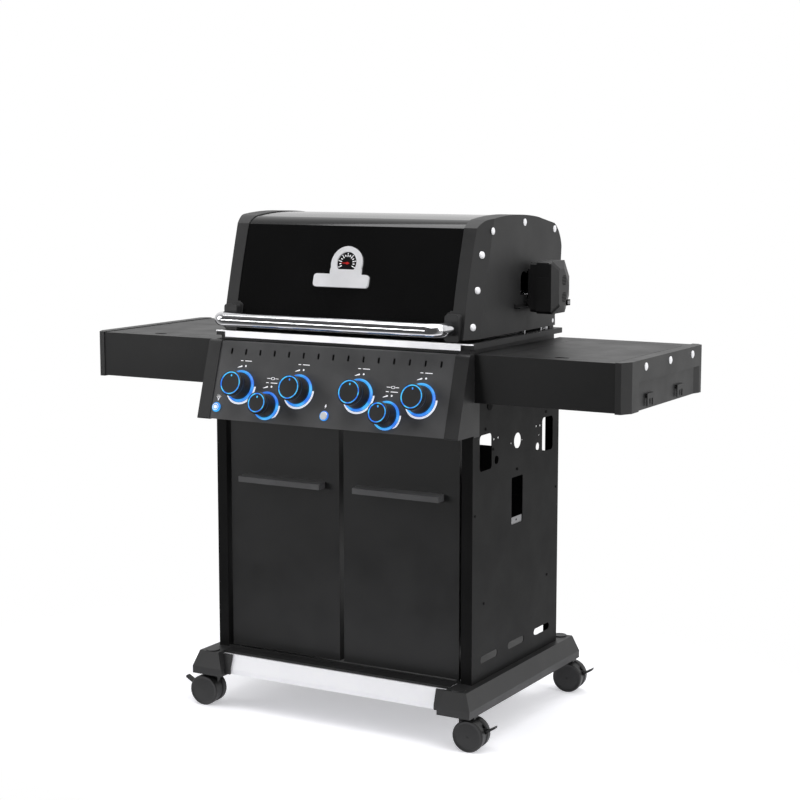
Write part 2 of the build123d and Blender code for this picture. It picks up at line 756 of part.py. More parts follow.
# ---- lid ---------------------------------------------------------------------------------
def lid_outline():
    """Side view of the lid's outer surface, as a face in the YZ plane."""
    z = lid_bottom
    front_low = (0, lid_front, z)
    front_mid = (0, lid_front + 20.0, z + lid_height * 0.33)
    front_top = (0, lid_front + 65.0, z + lid_height - 26.4)
    brow = (0, lid_front + 82.0, z + lid_height - 14.5)
    roof_front = (0, lid_front + 100.0, z + lid_height - 8.0)
    roof_back = (0, lid_back - 136.5, z + lid_height - 8.0)
    roof_mid = (0, (roof_front[1] + roof_back[1]) / 2, z + lid_height)
    rear_top = (0, lid_back - 42.5, z + lid_height - 26.0)
    rear_turn = (0, lid_back - 16.0, z + lid_height - 49.0)
    rear_side = (0, lid_back - 1.0, z + lid_height - 84.0)
    rear_knee = (0, lid_back - 4.0, z + lid_height - 118.0)
    rear_low = (0, lid_back - 35.0, z + 24.0)
    rear_end = (0, lid_back - 34.0, z)
    edges = [
        ThreePointArc(front_low, front_mid, front_top),
        ThreePointArc(front_top, brow, roof_front),
        ThreePointArc(roof_front, roof_mid, roof_back),
        Line(roof_back, rear_top),
        ThreePointArc(rear_top, rear_turn, rear_side),
        Line(rear_side, rear_knee),
        Line(rear_knee, rear_low),
        Line(rear_low, rear_end),
        Line(rear_end, front_low),
    ]
    return make_face(edges)


def lid_slice(shrink, x0, x1):
    """The lid's outline, drawn in by a wall, from x0 to x1."""
    face = lid_outline()
    if shrink > 0:
        face = offset(face, amount=-shrink, kind=Kind.INTERSECTION)
    return Pos(x0, 0, 0) * extrude(face, amount=x1 - x0, dir=(1, 0, 0))


def lid_open_bottom(x0, x1, wall):
    """Block that opens the lid downwards."""
    return block(x0, x1, lid_front + wall + 1.5, lid_back - 34.0 - wall - 1.0, lid_bottom - 1.0,
        lid_bottom + 8.0)


def front_surface():
    """Point and lean of the lid's front at the height of the dial."""
    low = Vector(0, lid_front, lid_bottom)
    high = Vector(0, lid_front + 65.0, lid_bottom + lid_height - 26.4)
    mid = Vector(0, lid_front + 20.0, lid_bottom + lid_height * 0.33)
    arc = ThreePointArc(low, mid, high)
    share = badge_height / (lid_height - 26.4)
    return arc @ share, arc % share


def badge_plane():
    """Plane on the lid's front with +Z out of the lid and the dial's middle at its origin."""
    point, tangent = front_surface()
    outward = Vector(1, 0, 0).cross(tangent)
    if outward.Y > 0:
        outward = outward * -1
    return Plane(origin=point + outward * -lid_sheet, x_dir=(1, 0, 0), z_dir=outward)


def lid_shell():
    """Sheet between the end caps: front, top and back in one piece."""
    shell = lid_slice(lid_sheet, -lid_inner_x, lid_inner_x)
    shell -= lid_slice(2 * lid_sheet, -lid_inner_x - 1.0, lid_inner_x + 1.0)
    shell -= lid_open_bottom(-lid_inner_x - 1.0, lid_inner_x + 1.0, 2 * lid_sheet)
    shell -= block(-lid_inner_x - 1, lid_inner_x + 1, lid_front - 5, lid_back, lid_bottom - 1,
        lid_bottom + 0.5)
    plane = badge_plane()
    shell -= plane.location * Cylinder(needle_pin_radius + 2.0, 8.0)
    return shell


def facet_wedge(shift):
    """Wedge that cuts the chamfered facet behind the end cap's front crease."""
    low = Vector(0, lid_front, lid_bottom)
    high = Vector(0, lid_front + 65.0, lid_bottom + lid_height - 26.4)
    crease = (high - low).normalized()
    plane = Plane(origin=low, x_dir=(1, 0, 0), z_dir=crease)
    slope = lid_crease_inset / lid_facet_depth
    sign = -1.0 if (plane.y_dir.Y < 0) else 1.0
    before = 14.0
    beyond = 6.0
    corners = [
        (lid_crease_x - slope * before, -sign * before),
        (lid_half_width + slope * beyond, sign * (lid_facet_depth + beyond)),
        (lid_half_width + 40.0, sign * (lid_facet_depth + beyond)),
        (lid_half_width + 40.0, -sign * before),
    ]
    face = plane * make_face(Polyline([(x, y, 0) for x, y in corners], close=True))
    return Pos(-shift, 0, 0) * (Pos(0, -crease.Y * 60, -crease.Z * 60) * extrude(face, amount=420.0,
        dir=crease))


def spit_hole():
    """Opening in the end cap for the rotisserie spit."""
    y = (motor_front + motor_back) / 2 - 12.0
    z = lid_bottom + motor_above_lid + motor_height / 2 + 6.0
    inner = lid_half_width - 12.0
    outer = lid_half_width + 6.0
    hole = rod((inner, y, z), (outer, y, z), 36.0)
    hole += rod((inner, spit_slot_y, z + 14.0), (outer, spit_slot_y, z + 14.0), spit_slot_radius)
    slot = block(inner, outer, spit_slot_y - spit_slot_radius, spit_slot_y + spit_slot_radius,
        z - 24.0, z + 14.0)
    return hole + slot


def lid_screw_planes():
    """Planes of the domed screws on the right end cap."""
    planes = []
    top = lid_bottom + lid_height
    for y, z in ((-121.0, top - 34.0), (44.0, top - 19.0), (lid_back - 43.0, top - 40.0)):
        planes.append(Plane(origin=(lid_half_width, y, z), z_dir=(1, 0, 0)))
    low = Vector(0, lid_front, lid_bottom)
    high = Vector(0, lid_front + 65.0, lid_bottom + lid_height - 26.4)
    crease = (high - low).normalized()
    backward = Vector(0, crease.Z, -crease.Y)
    across = (backward * lid_facet_depth + Vector(lid_crease_inset, 0, 0)).normalized()
    normal = crease.cross(across)
    if normal.X < 0:
        normal = normal * -1
    for height in (33.0, 115.0, 194.0):
        foot = low + crease * (height / crease.Z) + backward * (lid_facet_depth / 2)
        origin = foot + Vector(lid_crease_x + lid_crease_inset / 2, 0, 0)
        planes.append(Plane(origin=origin, z_dir=normal))
    return planes


def lid_end_caps():
    """Cast end caps: hollow, with a facet behind the front crease and a slot around the hinge ear."""
    x0 = lid_inner_x
    x1 = lid_half_width
    outer = lid_slice(0, x0, x1) - facet_wedge(0)
    inner = lid_slice(lid_cap_wall, x0 - 1.0, x1 - lid_cap_wall) - facet_wedge(lid_cap_wall * 1.1)
    inner += lid_open_bottom(x0 - 1.0, x1 - lid_cap_wall, lid_cap_wall) - facet_wedge(lid_cap_wall * 1.1)
    cap = outer - inner
    shoulder = lid_slice(0, x0 - lid_shoulder, x0) - lid_slice(lid_sheet, x0 - lid_shoulder - 1.0,
        x0 + 1.0)
    window = block(x0 - lid_shoulder, x0, lid_front - 5.0, lid_front + 60.0, lid_bottom,
        lid_bottom + 52.0)
    window += block(x0 - 8.0, x0, lid_front - 5.0, lid_front + 60.0, lid_bottom, lid_bottom + 64.0)
    window += rod((x0 - 8.0, lid_front - 5.0, lid_bottom + 52.0),
        (x0 - 8.0, lid_front + 60.0, lid_bottom + 52.0), 9.0)
    cap += shoulder & window
    wall_in = x1 - lid_cap_wall
    ear_in = wall_in - 1.0 - ear_width
    cap -= block(ear_in, wall_in, hinge_y - 20.0, lid_back, lid_bottom - 1.0, hinge_z + 20.0)
    cap -= rod((ear_in, hinge_y, hinge_z), (x1 + 1.0, hinge_y, hinge_z), hinge_pin_radius + running)
    for plane in lid_screw_planes():
        cap -= screw_hole(plane)
    left = cap.mirror(Plane.YZ)
    return apart(cap - spit_hole(), left)


def lid_screws():
    right = [screw(plane, 8.3) for plane in lid_screw_planes()]
    return both_sides(apart(*right))


def handle_path():
    """Centre line of the tube handle, from one boss to the other."""
    tail = boss_y + 5.0
    bend = handle_bend
    turn = bend * (1 - cos(radians(45)))
    return Wire([
        Line((-arm_x, tail, handle_z), (-arm_x, handle_y + bend, handle_z)),
        ThreePointArc(
            (-arm_x, handle_y + bend, handle_z),
            (-arm_x + turn, handle_y + turn, handle_z),
            (-arm_x + bend, handle_y, handle_z),
        ),
        Line((-arm_x + bend, handle_y, handle_z), (arm_x - bend, handle_y, handle_z)),
        ThreePointArc(
            (arm_x - bend, handle_y, handle_z),
            (arm_x - turn, handle_y + turn, handle_z),
            (arm_x, handle_y + bend, handle_z),
        ),
        Line((arm_x, handle_y + bend, handle_z), (arm_x, tail, handle_z)),
    ])


def lid_handle():
    """Bent tube handle."""
    path = handle_path()
    start = Plane(origin=(-arm_x, boss_y + 5.0, handle_z), z_dir=(0, -1, 0))
    outer = sweep(start * Circle(handle_tube_radius), path=path)
    inner = sweep(start * Circle(handle_tube_radius - 1.5), path=path)
    return outer - inner


def handle_bosses():
    """Black blocks that hold the ends of the handle."""
    low = boss_bottom
    high = low + boss_height
    outline = Plane(
        origin=(arm_x + 4.0, boss_y, (low + high) / 2), x_dir=(1, 0, 0), z_dir=(0, -1, 0)
    ) * RectangleRounded(boss_width, boss_height, 8.0)
    boss = extrude(outline, amount=-30.0)
    boss -= lid_slice(0, arm_x - 30.0, arm_x + 40.0)
    boss = boss.solids().sort_by(Axis.Y)[0]
    boss -= rod((arm_x, boss_y - 1.0, handle_z), (arm_x, boss_y + 5.0, handle_z), handle_tube_radius)
    return both_sides(boss)


def dial_window(radius):
    """Round window with a flat lower edge."""
    return Circle(radius) - Pos(0, -radius - 15.5) * Rectangle(3 * radius, 2 * radius)


def lid_badge():
    """Bright arch with a blank plate below it, round the dial's window."""
    plane = badge_plane()
    arch = Pos(0, -2.0) * Circle(arch_radius)
    arch += Pos(0, (plate_low + plate_high) / 2 + 14.0) * Rectangle(2 * arch_radius,
        plate_high - plate_low)
    arch -= Pos(0, plate_low - 100.0) * Rectangle(400, 200)
    middle = ((plate_left + plate_right) / 2, (plate_low + plate_high) / 2)
    plate = Pos(*middle) * RectangleRounded(plate_right - plate_left, plate_high - plate_low, 8.0)
    face = arch + plate - dial_window(dial_radius + 0.3)
    badge = plane.location * Pos(0, 0, -1.5) * extrude(face, amount=badge_thickness + 1.5)
    return badge - lid_slice(lid_sheet, -lid_inner_x, lid_inner_x)


def thermometer_dial():
    plane = badge_plane()
    dial = plane.location * extrude(dial_window(dial_radius), amount=1.2)
    dial = dial - lid_slice(lid_sheet, -60.0, 60.0)
    return dial - plane.location * Cylinder(needle_pin_radius + running, 10.0)


def thermometer_needle():
    """Pointer on its spindle, pointing left."""
    pointer = [(-needle_length, 0), (0, -1.6), (6.0, -1.0), (6.0, 1.0), (0, 1.6)]
    needle = Pos(0, 0, 1.7) * extrude(make_face(Polyline([(x, y, 0) for x, y in pointer],
        close=True)), amount=0.8)
    needle += Pos(0, 0, 2.1) * Cylinder(3.2, 0.8)
    needle += Pos(0, 0, -1.0) * Cylinder(needle_pin_radius, 7.0)
    return badge_plane().location * needle


# ---- rotisserie motor --------------------------------------------------------------------
def motor_outline(shrink, lean=0.0):
    """Side view of the motor: a box with cut corners, further drawn in at its back by lean."""
    y0 = motor_front + shrink
    y1 = motor_back - shrink - lean
    z0 = lid_bottom + motor_above_lid + shrink
    z1 = z0 + motor_height - 2 * shrink
    cut = 24.0
    return [
        (y0 + 6.0, z0),
        (y1 - cut, z0),
        (y1, z0 + cut * 1.6),
        (y1, z1 - cut * 1.7),
        (y1 - cut * 1.2, z1),
        (y0 + 6.0, z1),
        (y0, z1 - 6.0),
        (y0, z0 + 6.0),
    ]


def motor_centre():
    y = (motor_front + motor_back) / 2
    z = lid_bottom + motor_above_lid + motor_height / 2 + 2.0
    return y, z


def rotisserie_bracket():
    """Folded bracket that carries the motor outside the right end cap."""
    x = lid_half_width
    y, z = motor_centre()
    low = lid_bottom + motor_above_lid + 14.0
    face = x + motor_gap - 3.0
    bracket = block(x, x + 3.0, -8.0, motor_back - 6.0, low, low + 10.0)
    bracket += block(x, x + motor_gap, -8.0, motor_back - 6.0, low, low + 3.0)
    bracket += block(face, x + motor_gap, motor_front - 2.0, motor_back - 8.0, low, low + 92.0)
    bracket -= rod((face - 1.0, y, z), (x + motor_gap + 1.0, y, z), drive_radius + 2.0)
    return bracket


def rotisserie_motor():
    """Back cover, body with a crease and a bulging outer face."""
    x0 = lid_half_width + motor_gap
    x1 = x0 + motor_cover
    x2 = x1 + motor_body
    y, z = motor_centre()
    crease = lid_bottom + motor_above_lid + 86.0
    motor = prism_x(motor_outline(3.0), x0, x1)
    motor += prism_x(motor_outline(0.0), x1, x2)
    near = make_face(Polyline([(x2, v, w) for v, w in motor_outline(0.0)], close=True))
    far = make_face(Polyline([(x2 + motor_bulge, v, w) for v, w in motor_outline(18.0, 10.0)],
        close=True))
    motor += loft([near, far])
    motor -= block(x1, x2 - 6.0, motor_front - 1.0, motor_front + 2.0, crease, crease + 60.0)
    return motor - rod((x0 - 1.0, y, z), (x0 + 22.0, y, z), drive_radius + running)


def rotisserie_drive():
    """Turning socket for the spit's square end."""
    x = lid_half_width + motor_gap
    y, z = motor_centre()
    drive = rod((x - 12.0, y, z), (x + 20.0, y, z), drive_radius)
    square = Plane(origin=(x - 13.0, y, z), z_dir=(1, 0, 0)) * Rectangle(8.2, 8.2)
    return drive - extrude(square, amount=25.0)


# ---- hinge pins --------------------------------------------------------------------------
def hinge_pins():
    """Lid pins through the cookbox ears, and the doors' lower and upper pivots."""
    near = lid_half_width - lid_cap_wall - 2.5 - ear_width
    end = lid_half_width
    pins = [rod((near, hinge_y, hinge_z), (end, hinge_y, hinge_z), hinge_pin_radius)]
    lower = Pos(door_pin_x, door_pin_y, floor_top + 2.0) * Cylinder(6.0, 4.0)
    lower += rod((door_pin_x, door_pin_y, floor_top), (door_pin_x, door_pin_y, door_bottom + 14.0),
        door_pin_radius)
    upper = Pos(door_pin_x, door_pin_y, console_bottom - 1.5) * Cylinder(6.0, 3.0)
    upper += rod((door_pin_x, door_pin_y, door_top - 14.0), (door_pin_x, door_pin_y, console_bottom),
        door_pin_radius)
    return both_sides(apart(*pins, lower, upper))


# ---- doors -------------------------------------------------------------------------------
def door():
    """Right-hand door: a sheet pan, open at the back, with a pivot block in each outer corner."""
    leaf = block(door_in, door_out, door_y0, door_y1, door_bottom, door_top)
    leaf -= block(
        door_in + door_sheet, door_out - door_sheet, door_y0 + door_sheet, door_y1 + 1.0,
        door_bottom + door_sheet, door_top - door_sheet,
    )
    for z0, z1 in ((door_bottom, door_bottom + 18.0), (door_top - 18.0, door_top)):
        leaf += block(door_out - 16.5, door_out, door_y0 + 0.5, door_y1, z0, z1)
        leaf -= Pos(door_pin_x, door_pin_y, (z0 + z1) / 2) * Cylinder(door_pin_radius + running, 30.0)
    return leaf


def door_handle():
    """Pull on the right-hand door: a folded bar with closed ends, open below."""
    x0 = (door_in + door_out) / 2 - door_handle_length / 2
    x1 = x0 + door_handle_length
    y0 = door_y0 - door_handle_reach
    z0 = cabinet_bottom + door_handle_above
    z1 = z0 + door_handle_height
    t = door_handle_wall
    profile = [
        (door_y0, z1 + 3.0),
        (y0, z1),
        (y0, z0),
        (y0 + t, z0),
        (y0 + t, z1 - t),
        (door_y0, z1 + 3.0 - t),
    ]
    closed = [(door_y0, z1 + 3.0), (y0, z1), (y0, z0), (door_y0, z0)]
    bar = prism_x(profile, x0, x1)
    bar += prism_x(closed, x0, x0 + t)
    bar += prism_x(closed, x1 - t, x1)
    return bar


# ---- casters -----------------------------------------------------------------------------
def caster_place(side_x, side_y):
    """Frame at a caster's swivel axis on the floor: +X is the way the wheel trails."""
    yaw = caster_yaw if side_x > 0 else 180.0 + caster_yaw
    y = stem_rear if side_y > 0 else -stem_front
    return Pos(side_x * stem_x, y, 0) * Rot(0, 0, yaw)


def across_y(radius, y0, y1, x, z):
    """Round bar along Y in a caster's own frame."""
    return rod((x, y0, z), (x, y1, z), radius)


def caster_housing():
    """Hood between the two wheels, with the swivel stem and the lug for the brake pedal."""
    half = web_width / 2
    web = across_y(wheel_radius - 2.5, -half, half, wheel_trail, wheel_radius)
    web += block(-7.0, wheel_trail + 8.0, -half, half, wheel_radius, 2 * wheel_radius + 2.0)
    web += Pos(0, 0, 2 * wheel_radius + 4.8) * Cylinder(14.0, 7.6)
    web += block(-12.0, wheel_trail + 12.0, -13.0, 13.0, 2 * wheel_radius + 1.0, 2 * wheel_radius + 6.0)
    web += Pos(0, 0, beam_bottom + stem_length / 2 - 2.0) * Cylinder(stem_radius, stem_length + 4.0)
    web -= block(pedal_x - 6.0, pedal_x + 16.0, -half - 1.0, half + 1.0, pedal_z - 9.0, pedal_z + 14.0)
    web += block(pedal_x - 9.0, pedal_x + 3.0, -3.0, 3.0, pedal_z - 4.0, pedal_z + 4.0)
    web -= across_y(2.0 + running, -10.0, 10.0, pedal_x, pedal_z)
    return web - across_y(axle_radius + running, -10.0, 10.0, wheel_trail, wheel_radius)


def caster_wheels():
    """Twin wheels on one axle."""
    inner = wheel_gap / 2
    outer = inner + wheel_width
    edge = 2.5
    pair = across_y(axle_radius, -inner - 1.0, inner + 1.0, 0, 0)
    profile = [
        (0, inner),
        (wheel_radius - edge, inner),
        (wheel_radius, inner + edge),
        (wheel_radius, outer - edge),
        (wheel_radius - edge, outer),
        (wheel_radius - 8.0, outer - 1.5),
        (0, outer - 1.0),
    ]
    for turn in (90, -90):
        pair += Rot(turn, 0, 0) * turned(profile)
    return Pos(wheel_trail, 0, wheel_radius) * pair


def caster_pedal():
    """Brake pedal with two legs astride the lug and its pivot."""
    heel_x = wheel_trail + wheel_radius + 2.0
    toe_x = heel_x + 21.0
    pad = [(heel_x, pedal_z - 4.0), (heel_x, pedal_z + 2.0), (toe_x, pedal_z + 14.0),
        (toe_x, pedal_z + 9.0)]
    pedal = prism_y(pad, -8.0, 8.0)
    for y0, y1 in ((-6.0, -3.3), (3.3, 6.0)):
        pedal += block(pedal_x - 4.0, heel_x + 3.0, y0, y1, pedal_z - 3.5, pedal_z + 3.0)
    return pedal + across_y(2.0, -6.0, 6.0, pedal_x, pedal_z)


# ---- side shelves ------------------------------------------------------------------------
def shelf_sheet():
    """Right-hand shelf: a folded deck with a well under the flush lid."""
    x0 = half_width
    x1 = shelf_sheet_end
    t = sheet
    shelf = block(x0, x1, -half_depth, half_depth, shelf_bottom, shelf_top)
    shelf -= block(x0 + t, x1 - t, -half_depth + t, half_depth - t, shelf_bottom - 1.0, shelf_top - t)
    shelf -= block(x0 - 1.0, shelf_inner_x, -half_depth - 1.0, -half_depth + 29.0, shelf_bottom - 1,
        shelf_top + 1)
    well = block(well_x0 - t, well_x1 + t, -shelf_lid_front - t, shelf_lid_back + t, well_bottom - t,
        shelf_top)
    hollow = block(well_x0, well_x1, -shelf_lid_front, shelf_lid_back, well_bottom, shelf_top + 1.0)
    shelf = shelf + well - hollow
    ledge_top = shelf_top - shelf_lid_sheet
    reach = 7.0
    ledge = block(well_x0, well_x1, -shelf_lid_front, shelf_lid_back - 14.0, ledge_top - t, ledge_top)
    ledge -= block(
        well_x0 + reach, well_x1 - reach, -shelf_lid_front + reach, shelf_lid_back,
        ledge_top - 2 * t, shelf_top
    )
    shelf += ledge
    pin = shelf_pin_radius + running
    for start, end in ((well_x0 - t - 1.0, well_x0 + 1.0), (well_x1 - 1.0, well_x1 + t + 1.0)):
        shelf -= rod((start, shelf_pin_y, shelf_pin_z), (end, shelf_pin_y, shelf_pin_z), pin)
    return shelf


def shelf_lid():
    """Flush lid with a finger notch at the front and pivot stubs at the back."""
    g = shelf_lid_gap
    low = shelf_top - shelf_lid_sheet
    plate = block(well_x0 + g, well_x1 - g, -shelf_lid_front + g, shelf_lid_back - g, low, shelf_top)
    notch = RectangleRounded(34.0, 14.0, 6.0)
    middle = (well_x0 + well_x1) / 2
    plate -= Pos(middle, -shelf_lid_front + g + 15.0, low - 1.0) * extrude(notch,
        amount=shelf_lid_sheet + 2.0)
    for start, end in ((well_x0 - sheet + 0.3, well_x0 + 6.0), (well_x1 - 6.0, well_x1 + sheet - 0.3)):
        plate += rod((start, shelf_pin_y, shelf_pin_z), (end, shelf_pin_y, shelf_pin_z), shelf_pin_radius)
    return plate


def shelf_screw_planes():
    planes = []
    for y in (-126.0, 18.0, 157.0):
        planes.append(Plane(origin=(shelf_x, y, shelf_top - 15.5), z_dir=(1, 0, 0)))
    return planes


def shelf_end_caps():
    """Moulded ends of the shelves, with a recess and two tool hooks."""
    x0 = shelf_sheet_end
    edge = 14.0
    y0 = -half_depth - 2.0
    y1 = half_depth + 2.0
    plan = [(x0, y0), (shelf_x - edge, y0), (shelf_x, y0 + edge * 2), (shelf_x, y1 - edge),
        (shelf_x - edge, y1), (x0, y1)]
    cap = prism_z(plan, shelf_bottom - 2.0, shelf_top + shelf_cap_rise)
    cap -= block(x0 - 1.0, x0 + shelf_cap_width * 0.55, y0 + 3.0, y1 - 3.0, shelf_bottom + 1.0,
        shelf_top - 3.0)
    recess_top = shelf_top - 47.0
    recess = [(shelf_x + 1.0, -166.0), (shelf_x - 6.0, -152.0), (shelf_x - 6.0, 182.0),
        (shelf_x + 1.0, 208.0)]
    cap -= prism_z(recess, shelf_bottom - 3.0, recess_top)
    for y in (-94.0, 86.0):
        root = shelf_x - 6.5
        cap += block(root, shelf_x + 0.0, y - 20.0, y + 20.0, shelf_bottom + 28.0, shelf_bottom + 32.0)
        hook = block(shelf_x - 2.5, shelf_x, y - 20.0, y + 20.0, shelf_bottom + 4.0, shelf_bottom + 32.0)
        cap += hook - block(shelf_x - 4.0, shelf_x + 1.0, y - 11.0, y + 11.0, shelf_bottom,
            shelf_bottom + 20.0)
    for plane in shelf_screw_planes():
        cap -= screw_hole(plane)
    return both_sides(cap)


def shelf_screws():
    return both_sides(apart(*[screw(plane, 8.8) for plane in shelf_screw_planes()]))


def well_middle():
    return (well_x0 + well_x1) / 2, (shelf_lid_back - shelf_lid_front) / 2


def side_burner():
    """Burner in the left shelf's well."""
    x, y = well_middle()
    head = turned([
        (0, 0), (side_burner_radius - 12.0, 0), (side_burner_radius - 12.0, 7.0), (side_burner_radius,
            9.0),
        (side_burner_radius, 14.0), (side_burner_radius - 5.0, 17.0), (0, 18.0),
    ])
    return Pos(-x, y, well_bottom) * head


def side_burner_grate():
    """Round trivet with six fingers, on four legs."""
    x, y = well_middle()
    top = shelf_lid_sheet + 10.0
    high = shelf_well_depth - top
    ring = Pos(0, 0, high - 4.0) * (Cylinder(side_grate_radius,
        8.0) - Cylinder(side_grate_radius - 8.0, 9.0))
    trivet = ring
    for number in range(6):
        finger = block(28.0, side_grate_radius - 4.0, -3.0, 3.0, high - 6.0, high)
        trivet += Rot(0, 0, 60 * number) * finger
    for number in range(4):
        leg = Pos(side_grate_radius - 4.0, 0, high / 2) * Cylinder(4.0, high)
        trivet += Rot(0, 0, 45 + 90 * number) * leg
    return Pos(-x, y, well_bottom) * trivet


# ---- every node --------------------------------------------------------------------------
def build_nodes():
    """Name to shape, about the cabinet's middle."""
    nodes = {
        "base_beams": base_beams(),
        "base_apron": base_apron(),
        "cabinet_floor": cabinet_floor(),
        "side_panels": side_panels(),
        "rear_brace": rear_brace(),
        "console_panel": console_panel(),
        "console_caps": console_caps(),
        "knob_bezels": knob_bezels(),
        "gas_manifold": gas_manifold(),
        "cookbox": cookbox(),
        "cookbox_trim": cookbox_trim(),
        "burners": burners(),
        "flame_tamers": flame_tamers(),
        "cooking_grates": cooking_grates(),
        "warming_rack": warming_rack(),
        "shelf_end_caps": shelf_end_caps(),
        "shelf_screws": shelf_screws(),
        "side_burner": side_burner(),
        "side_burner_grate": side_burner_grate(),
        "hinge_pins": hinge_pins(),
        "lid_shell": lid_shell(),
        "lid_end_caps": lid_end_caps(),
        "lid_handle": lid_handle(),
        "handle_bosses": handle_bosses(),
        "lid_badge": lid_badge(),
        "thermometer_dial": thermometer_dial(),
        "thermometer_needle": thermometer_needle(),
        "lid_screws": lid_screws(),
        "rotisserie_bracket": rotisserie_bracket(),
        "rotisserie_motor": rotisserie_motor(),
        "rotisserie_drive": rotisserie_drive(),
        "grease_tray": grease_tray(),
        "ignition_button": button(0.0),
        "light_button": button(light_button_x),
    }
    for name, x in zip(("outer_left", "inner_left", "inner_right", "outer_right"), large_knob_x):
        nodes["knob_" + name] = knob(x, large_knob_down, large_knob_radius, large_bezel_radius)
    for name, x in zip(("side_burner", "rotisserie"), small_knob_x):
        nodes["knob_" + name] = knob(x, small_knob_down, small_knob_radius, small_bezel_radius)
    right = {"door": door(), "door_handle": door_handle(), "side_shelf": shelf_sheet(),
        "shelf_lid": shelf_lid()}
    for name, shape in right.items():
        nodes[name + "_right"] = shape
        nodes[name + "_left"] = shape.mirror(Plane.YZ)
    corners = {"front_left": (-1, -1), "front_right": (1, -1), "rear_left": (-1, 1), "rear_right": (1, 1)}
    for name, (side_x, side_y) in corners.items():
        place = caster_place(side_x, side_y)
        nodes["caster_housing_" + name] = place * caster_housing()
        nodes["caster_wheels_" + name] = place * caster_wheels()
        nodes["caster_pedal_" + name] = place * caster_pedal()
    return nodes


def main():
    os.makedirs("parts", exist_ok=True)
    for name, shape in build_nodes().items():
        export_step(Pos(0, centring, 0) * shape, os.path.join("parts", name + ".step"))


if __name__ == "__main__":
    main()
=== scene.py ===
"""Looks of the gas barbecue grill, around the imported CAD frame.  Metres, +X right, +Y back, +Z up."""
import json
import math

import bmesh
import bpy
from mathutils import Matrix, Vector


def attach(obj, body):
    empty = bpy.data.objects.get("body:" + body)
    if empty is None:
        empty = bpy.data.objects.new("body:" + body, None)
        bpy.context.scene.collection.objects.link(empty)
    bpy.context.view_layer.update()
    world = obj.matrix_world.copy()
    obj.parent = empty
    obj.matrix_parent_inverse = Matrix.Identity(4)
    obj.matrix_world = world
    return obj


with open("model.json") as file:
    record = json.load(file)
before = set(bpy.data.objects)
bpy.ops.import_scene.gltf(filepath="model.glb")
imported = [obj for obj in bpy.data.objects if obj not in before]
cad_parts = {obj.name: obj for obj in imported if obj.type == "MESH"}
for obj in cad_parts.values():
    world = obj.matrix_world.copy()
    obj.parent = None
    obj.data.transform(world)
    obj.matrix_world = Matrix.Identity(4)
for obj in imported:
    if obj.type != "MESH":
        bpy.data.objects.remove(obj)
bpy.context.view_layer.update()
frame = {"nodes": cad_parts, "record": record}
NODES = frame["nodes"]

# Sizes of the CAD model that the added pieces sit on, in millimetres about the cabinet's middle.
MM = 0.001
CENTRING = 21.2346              # cabinet's middle behind the origin
PANEL_X = 353.0                 # outer face of the side panels
SHEET = 1.8                     # side panel's thickness with a little room
CONSOLE_Y = -248.5              # upper edge of the console
CONSOLE_TOP = 905.0
CONSOLE_LEAN = math.atan2(56.2, 182.0)
LARGE_DOWN = 107.4              # distances down the console
SMALL_DOWN = 149.5
BUTTON_DOWN = 162.0
LIGHT_BUTTON_X = -305.0
KNOB_FACE = 44.0                # knob's rim off the console
MOTOR_OUTER = 429.0             # outer face of the rotisserie motor
MOTOR_BOTTOM = 978.4
PRINT = (-0.2, 0.25)            # depth and height of the console's print

# Each knob's middle along X, and whether it is a large one.
KNOBS = {
    "knob_outer_left": (-246.0, True),
    "knob_inner_left": (-82.0, True),
    "knob_inner_right": (82.0, True),
    "knob_outer_right": (246.0, True),
    "knob_side_burner": (-164.0, False),
    "knob_rotisserie": (164.0, False),
}


# ---- materials ---------------------------------------------------------------------------
def node(tree, kind, **values):
    """New shader node with the given socket values and properties."""
    made = tree.nodes.new(kind)
    for key, value in values.items():
        if key in made.inputs:
            made.inputs[key].default_value = value
        else:
            setattr(made, key, value)
    return made


def place_of(tree, stretch):
    """Position on the object in metres, stretched along the axes."""
    coordinates = node(tree, "ShaderNodeTexCoord")
    mapping = node(tree, "ShaderNodeMapping")
    mapping.inputs["Scale"].default_value = stretch
    tree.links.new(coordinates.outputs["Object"], mapping.inputs["Vector"])
    return mapping.outputs["Vector"]


def noise(tree, place, size, detail=3.0):
    """Noise whose features are about size metres across, from 0 to 1."""
    made = node(tree, "ShaderNodeTexNoise", Scale=1.0 / size, Detail=detail, Roughness=0.55)
    tree.links.new(place, made.inputs["Vector"])
    return made.outputs["Fac"]


def spread(tree, value, low, high, centre=0.5, reach=0.2):
    """Map a value near centre to the range from low to high."""
    made = node(tree, "ShaderNodeMapRange")
    made.inputs["From Min"].default_value = centre - reach
    made.inputs["From Max"].default_value = centre + reach
    made.inputs["To Min"].default_value = low
    made.inputs["To Max"].default_value = high
    tree.links.new(value, made.inputs["Value"])
    return made.outputs["Result"]


def ramp(tree, value, stops):
    """Colour ramp through (position, colour) stops."""
    made = node(tree, "ShaderNodeValToRGB")
    elements = made.color_ramp.elements
    while len(elements) < len(stops):
        elements.new(0.5)
    for element, (position, colour) in zip(elements, stops):
        element.position = position
        element.color = (*colour, 1.0)
    tree.links.new(value, made.inputs["Fac"])
    return made.outputs["Color"]


def bump(tree, height, depth):
    """Normal bumped by a height from 0 to 1 that stands for 0.4 mm."""
    made = node(tree, "ShaderNodeBump", Strength=depth, Distance=0.0004)
    tree.links.new(height, made.inputs["Height"])
    return made.outputs["Normal"]


